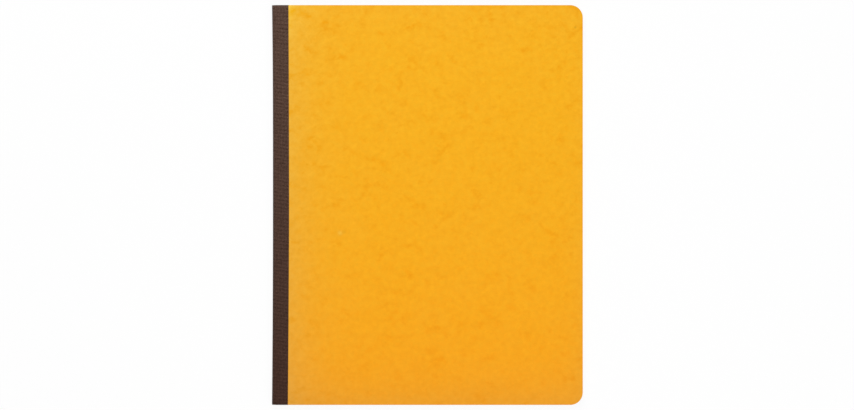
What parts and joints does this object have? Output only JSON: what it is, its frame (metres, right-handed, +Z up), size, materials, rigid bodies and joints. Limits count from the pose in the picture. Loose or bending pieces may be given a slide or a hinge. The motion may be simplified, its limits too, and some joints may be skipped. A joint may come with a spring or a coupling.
{
  "type": "register book",
  "caption": "Tall thin register book with a glossy yellow card cover, a brown cloth spine and ruled leaves sewn through the fold; the cover opens and the leaves turn.",
  "frame": {"origin": "middle of the closed book's footprint, on the surface that it lies on", "axes": "+X to the fore-edge, +Y to the head of the page, +Z up out of the front cover"},
  "size_m": [0.249, 0.32, 0.0079],
  "materials": {
    "cover_card": "glossy mottled pressboard",
    "spine_cloth": "ribbed woven book cloth",
    "paper": "matt ivory writing paper with pale ruling",
    "thread": "waxed sewing thread"
  },
  "bodies": {
    "back_cover": {"back_cover": "cover_card", "spine_cloth_back": "spine_cloth"},
    "spine": {"cover_spine_fold": "cover_card", "spine_cloth_wrap": "spine_cloth", "sheet_folds": "paper", "sewing_thread": "thread"},
    "leaf_01": {"leaf_01": "paper"},
    "leaf_02": {"leaf_02": "paper"},
    "leaf_03": {"leaf_03": "paper"},
    "leaf_04": {"leaf_04": "paper"},
    "leaf_05": {"leaf_05": "paper"},
    "leaf_06": {"leaf_06": "paper"},
    "leaf_07": {"leaf_07": "paper"},
    "leaf_08": {"leaf_08": "paper"},
    "leaf_09": {"leaf_09": "paper"},
    "leaf_10": {"leaf_10": "paper"},
    "leaf_11": {"leaf_11": "paper"},
    "leaf_12": {"leaf_12": "paper"},
    "leaf_13": {"leaf_13": "paper"},
    "leaf_14": {"leaf_14": "paper"},
    "leaf_15": {"leaf_15": "paper"},
    "leaf_16": {"leaf_16": "paper"},
    "leaf_17": {"leaf_17": "paper"},
    "leaf_18": {"leaf_18": "paper"},
    "leaf_19": {"leaf_19": "paper"},
    "leaf_20": {"leaf_20": "paper"},
    "leaf_21": {"leaf_21": "paper"},
    "leaf_22": {"leaf_22": "paper"},
    "leaf_23": {"leaf_23": "paper"},
    "leaf_24": {"leaf_24": "paper"},
    "leaf_25": {"leaf_25": "paper"},
    "leaf_26": {"leaf_26": "paper"},
    "leaf_27": {"leaf_27": "paper"},
    "leaf_28": {"leaf_28": "paper"},
    "leaf_29": {"leaf_29": "paper"},
    "leaf_30": {"leaf_30": "paper"},
    "leaf_31": {"leaf_31": "paper"},
    "leaf_32": {"leaf_32": "paper"},
    "leaf_33": {"leaf_33": "paper"},
    "leaf_34": {"leaf_34": "paper"},
    "leaf_35": {"leaf_35": "paper"},
    "leaf_36": {"leaf_36": "paper"},
    "leaf_37": {"leaf_37": "paper"},
    "leaf_38": {"leaf_38": "paper"},
    "leaf_39": {"leaf_39": "paper"},
    "leaf_40": {"leaf_40": "paper"},
    "front_cover": {"front_cover": "cover_card", "spine_cloth_front": "spine_cloth"}
  },
  "joints": [
    {"name": "leaf_01_turn", "type": "hinge", "parent": "back_cover", "child": "leaf_01", "pos_m": [-0.12054, 0, 0.00396], "axis": [0, -1, 0], "range_deg": [0, 180], "deforming": ["cover_spine_fold", "spine_cloth_wrap", "sheet_folds"]},
    {"name": "leaf_02_turn", "type": "hinge", "parent": "back_cover", "child": "leaf_02", "pos_m": [-0.12054, 0, 0.00396], "axis": [0, -1, 0], "range_deg": [0, 179.94]},
    {"name": "leaf_03_turn", "type": "hinge", "parent": "back_cover", "child": "leaf_03", "pos_m": [-0.12054, 0, 0.00396], "axis": [0, -1, 0], "range_deg": [0, 179.87]},
    {"name": "leaf_04_turn", "type": "hinge", "parent": "back_cover", "child": "leaf_04", "pos_m": [-0.12054, 0, 0.00396], "axis": [0, -1, 0], "range_deg": [0, 179.78]},
    {"name": "leaf_05_turn", "type": "hinge", "parent": "back_cover", "child": "leaf_05", "pos_m": [-0.12054, 0, 0.00396], "axis": [0, -1, 0], "range_deg": [0, 179.68]},
    {"name": "leaf_06_turn", "type": "hinge", "parent": "back_cover", "child": "leaf_06", "pos_m": [-0.12054, 0, 0.00396], "axis": [0, -1, 0], "range_deg": [0, 179.57]},
    {"name": "leaf_07_turn", "type": "hinge", "parent": "back_cover", "child": "leaf_07", "pos_m": [-0.12054, 0, 0.00396], "axis": [0, -1, 0], "range_deg": [0, 179.45]},
    {"name": "leaf_08_turn", "type": "hinge", "parent": "back_cover", "child": "leaf_08", "pos_m": [-0.12054, 0, 0.00396], "axis": [0, -1, 0], "range_deg": [0, 179.31]},
    {"name": "leaf_09_turn", "type": "hinge", "parent": "back_cover", "child": "leaf_09", "pos_m": [-0.12054, 0, 0.00396], "axis": [0, -1, 0], "range_deg": [0, 179.16]},
    {"name": "leaf_10_turn", "type": "hinge", "parent": "back_cover", "child": "leaf_10", "pos_m": [-0.12054, 0, 0.00396], "axis": [0, -1, 0], "range_deg": [0, 179]},
    {"name": "leaf_11_turn", "type": "hinge", "parent": "back_cover", "child": "leaf_11", "pos_m": [-0.12054, 0, 0.00396], "axis": [0, -1, 0], "range_deg": [0, 178.83]},
    {"name": "leaf_12_turn", "type": "hinge", "parent": "back_cover", "child": "leaf_12", "pos_m": [-0.12054, 0, 0.00396], "axis": [0, -1, 0], "range_deg": [0, 178.64]},
    {"name": "leaf_13_turn", "type": "hinge", "parent": "back_cover", "child": "leaf_13", "pos_m": [-0.12054, 0, 0.00396], "axis": [0, -1, 0], "range_deg": [0, 178.44]},
    {"name": "leaf_14_turn", "type": "hinge", "parent": "back_cover", "child": "leaf_14", "pos_m": [-0.12054, 0, 0.00396], "axis": [0, -1, 0], "range_deg": [0, 178.23]},
    {"name": "leaf_15_turn", "type": "hinge", "parent": "back_cover", "child": "leaf_15", "pos_m": [-0.12054, 0, 0.00396], "axis": [0, -1, 0], "range_deg": [0, 178.01]},
    {"name": "leaf_16_turn", "type": "hinge", "parent": "back_cover", "child": "leaf_16", "pos_m": [-0.12054, 0, 0.00396], "axis": [0, -1, 0], "range_deg": [0, 177.77]},
    {"name": "leaf_17_turn", "type": "hinge", "parent": "back_cover", "child": "leaf_17", "pos_m": [-0.12054, 0, 0.00396], "axis": [0, -1, 0], "range_deg": [0, 177.52]},
    {"name": "leaf_18_turn", "type": "hinge", "parent": "back_cover", "child": "leaf_18", "pos_m": [-0.12054, 0, 0.00396], "axis": [0, -1, 0], "range_deg": [0, 177.26]},
    {"name": "leaf_19_turn", "type": "hinge", "parent": "back_cover", "child": "leaf_19", "pos_m": [-0.12054, 0, 0.00396], "axis": [0, -1, 0], "range_deg": [0, 176.99]},
    {"name": "leaf_20_turn", "type": "hinge", "parent": "back_cover", "child": "leaf_20", "pos_m": [-0.12054, 0, 0.00396], "axis": [0, -1, 0], "range_deg": [0, 176.7]},
    {"name": "leaf_21_turn", "type": "hinge", "parent": "back_cover", "child": "leaf_21", "pos_m": [-0.12054, 0, 0.00396], "axis": [0, -1, 0], "range_deg": [0, 3.6]},
    {"name": "leaf_22_turn", "type": "hinge", "parent": "back_cover", "child": "leaf_22", "pos_m": [-0.12054, 0, 0.00396], "axis": [0, -1, 0], "range_deg": [0, 3.3]},
    {"name": "leaf_23_turn", "type": "hinge", "parent": "back_cover", "child": "leaf_23", "pos_m": [-0.12054, 0, 0.00396], "axis": [0, -1, 0], "range_deg": [0, 3.01]},
    {"name": "leaf_24_turn", "type": "hinge", "parent": "back_cover", "child": "leaf_24", "pos_m": [-0.12054, 0, 0.00396], "axis": [0, -1, 0], "range_deg": [0, 2.74]},
    {"name": "leaf_25_turn", "type": "hinge", "parent": "back_cover", "child": "leaf_25", "pos_m": [-0.12054, 0, 0.00396], "axis": [0, -1, 0], "range_deg": [0, 2.48]},
    {"name": "leaf_26_turn", "type": "hinge", "parent": "back_cover", "child": "leaf_26", "pos_m": [-0.12054, 0, 0.00396], "axis": [0, -1, 0], "range_deg": [0, 2.23]},
    {"name": "leaf_27_turn", "type": "hinge", "parent": "back_cover", "child": "leaf_27", "pos_m": [-0.12054, 0, 0.00396], "axis": [0, -1, 0], "range_deg": [0, 1.99]},
    {"name": "leaf_28_turn", "type": "hinge", "parent": "back_cover", "child": "leaf_28", "pos_m": [-0.12054, 0, 0.00396], "axis": [0, -1, 0], "range_deg": [0, 1.77]},
    {"name": "leaf_29_turn", "type": "hinge", "parent": "back_cover", "child": "leaf_29", "pos_m": [-0.12054, 0, 0.00396], "axis": [0, -1, 0], "range_deg": [0, 1.56]},
    {"name": "leaf_30_turn", "type": "hinge", "parent": "back_cover", "child": "leaf_30", "pos_m": [-0.12054, 0, 0.00396], "axis": [0, -1, 0], "range_deg": [0, 1.36]},
    {"name": "leaf_31_turn", "type": "hinge", "parent": "back_cover", "child": "leaf_31", "pos_m": [-0.12054, 0, 0.00396], "axis": [0, -1, 0], "range_deg": [0, 1.17]},
    {"name": "leaf_32_turn", "type": "hinge", "parent": "back_cover", "child": "leaf_32", "pos_m": [-0.12054, 0, 0.00396], "axis": [0, -1, 0], "range_deg": [0, 1]},
    {"name": "leaf_33_turn", "type": "hinge", "parent": "back_cover", "child": "leaf_33", "pos_m": [-0.12054, 0, 0.00396], "axis": [0, -1, 0], "range_deg": [0, 0.8352]},
    {"name": "leaf_34_turn", "type": "hinge", "parent": "back_cover", "child": "leaf_34", "pos_m": [-0.12054, 0, 0.00396], "axis": [0, -1, 0], "range_deg": [0, 0.6858]},
    {"name": "leaf_35_turn", "type": "hinge", "parent": "back_cover", "child": "leaf_35", "pos_m": [-0.12054, 0, 0.00396], "axis": [0, -1, 0], "range_deg": [0, 0.5508]},
    {"name": "leaf_36_turn", "type": "hinge", "parent": "back_cover", "child": "leaf_36", "pos_m": [-0.12054, 0, 0.00396], "axis": [0, -1, 0], "range_deg": [0, 0.4266]},
    {"name": "leaf_37_turn", "type": "hinge", "parent": "back_cover", "child": "leaf_37", "pos_m": [-0.12054, 0, 0.00396], "axis": [0, -1, 0], "range_deg": [0, 0.3168]},
    {"name": "leaf_38_turn", "type": "hinge", "parent": "back_cover", "child": "leaf_38", "pos_m": [-0.12054, 0, 0.00396], "axis": [0, -1, 0], "range_deg": [0, 0.2178]},
    {"name": "leaf_39_turn", "type": "hinge", "parent": "back_cover", "child": "leaf_39", "pos_m": [-0.12054, 0, 0.00396], "axis": [0, -1, 0], "range_deg": [0, 0.1332]},
    {"name": "leaf_40_turn", "type": "hinge", "parent": "back_cover", "child": "leaf_40", "pos_m": [-0.12054, 0, 0.00396], "axis": [0, -1, 0], "range_deg": [0, 0.0612]},
    {"name": "spine_roll", "type": "hinge", "parent": "back_cover", "child": "spine", "pos_m": [-0.12054, 0, 0.00396], "axis": [0, -1, 0], "range_deg": [0, 90]},
    {"name": "front_cover_open", "type": "hinge", "parent": "leaf_01", "child": "front_cover", "pos_m": [-0.12054, 0, 0.00797], "axis": [0, -1, 0], "range_deg": [0, 180]}
  ],
  "couplings": [
    {"joint": "leaf_02_turn", "follows": "leaf_01_turn", "ratio": 0.99967},
    {"joint": "leaf_03_turn", "follows": "leaf_01_turn", "ratio": 0.99926},
    {"joint": "leaf_04_turn", "follows": "leaf_01_turn", "ratio": 0.99879},
    {"joint": "leaf_05_turn", "follows": "leaf_01_turn", "ratio": 0.99824},
    {"joint": "leaf_06_turn", "follows": "leaf_01_turn", "ratio": 0.99762},
    {"joint": "leaf_07_turn", "follows": "leaf_01_turn", "ratio": 0.99694},
    {"joint": "leaf_08_turn", "follows": "leaf_01_turn", "ratio": 0.99618},
    {"joint": "leaf_09_turn", "follows": "leaf_01_turn", "ratio": 0.99536},
    {"joint": "leaf_10_turn", "follows": "leaf_01_turn", "ratio": 0.99447},
    {"joint": "leaf_11_turn", "follows": "leaf_01_turn", "ratio": 0.9935},
    {"joint": "leaf_12_turn", "follows": "leaf_01_turn", "ratio": 0.99247},
    {"joint": "leaf_13_turn", "follows": "leaf_01_turn", "ratio": 0.99136},
    {"joint": "leaf_14_turn", "follows": "leaf_01_turn", "ratio": 0.99018},
    {"joint": "leaf_15_turn", "follows": "leaf_01_turn", "ratio": 0.98894},
    {"joint": "leaf_16_turn", "follows": "leaf_01_turn", "ratio": 0.98762},
    {"joint": "leaf_17_turn", "follows": "leaf_01_turn", "ratio": 0.98624},
    {"joint": "leaf_18_turn", "follows": "leaf_01_turn", "ratio": 0.98479},
    {"joint": "leaf_19_turn", "follows": "leaf_01_turn", "ratio": 0.98326},
    {"joint": "leaf_20_turn", "follows": "leaf_01_turn", "ratio": 0.98167},
    {"joint": "leaf_21_turn", "follows": "leaf_01_turn", "ratio": 0.02},
    {"joint": "leaf_22_turn", "follows": "leaf_01_turn", "ratio": 0.01834},
    {"joint": "leaf_23_turn", "follows": "leaf_01_turn", "ratio": 0.01674},
    {"joint": "leaf_24_turn", "follows": "leaf_01_turn", "ratio": 0.01521},
    {"joint": "leaf_25_turn", "follows": "leaf_01_turn", "ratio": 0.01376},
    {"joint": "leaf_26_turn", "follows": "leaf_01_turn", "ratio": 0.01237},
    {"joint": "leaf_27_turn", "follows": "leaf_01_turn", "ratio": 0.01106},
    {"joint": "leaf_28_turn", "follows": "leaf_01_turn", "ratio": 0.00982},
    {"joint": "leaf_29_turn", "follows": "leaf_01_turn", "ratio": 0.00864},
    {"joint": "leaf_30_turn", "follows": "leaf_01_turn", "ratio": 0.00754},
    {"joint": "leaf_31_turn", "follows": "leaf_01_turn", "ratio": 0.0065},
    {"joint": "leaf_32_turn", "follows": "leaf_01_turn", "ratio": 0.00553},
    {"joint": "leaf_33_turn", "follows": "leaf_01_turn", "ratio": 0.00464},
    {"joint": "leaf_34_turn", "follows": "leaf_01_turn", "ratio": 0.00381},
    {"joint": "leaf_35_turn", "follows": "leaf_01_turn", "ratio": 0.00306},
    {"joint": "leaf_36_turn", "follows": "leaf_01_turn", "ratio": 0.00237},
    {"joint": "leaf_37_turn", "follows": "leaf_01_turn", "ratio": 0.00176},
    {"joint": "leaf_38_turn", "follows": "leaf_01_turn", "ratio": 0.00121},
    {"joint": "leaf_39_turn", "follows": "leaf_01_turn", "ratio": 0.00074},
    {"joint": "leaf_40_turn", "follows": "leaf_01_turn", "ratio": 0.00034},
    {"joint": "spine_roll", "follows": "leaf_01_turn", "ratio": 0.5}
  ]
}
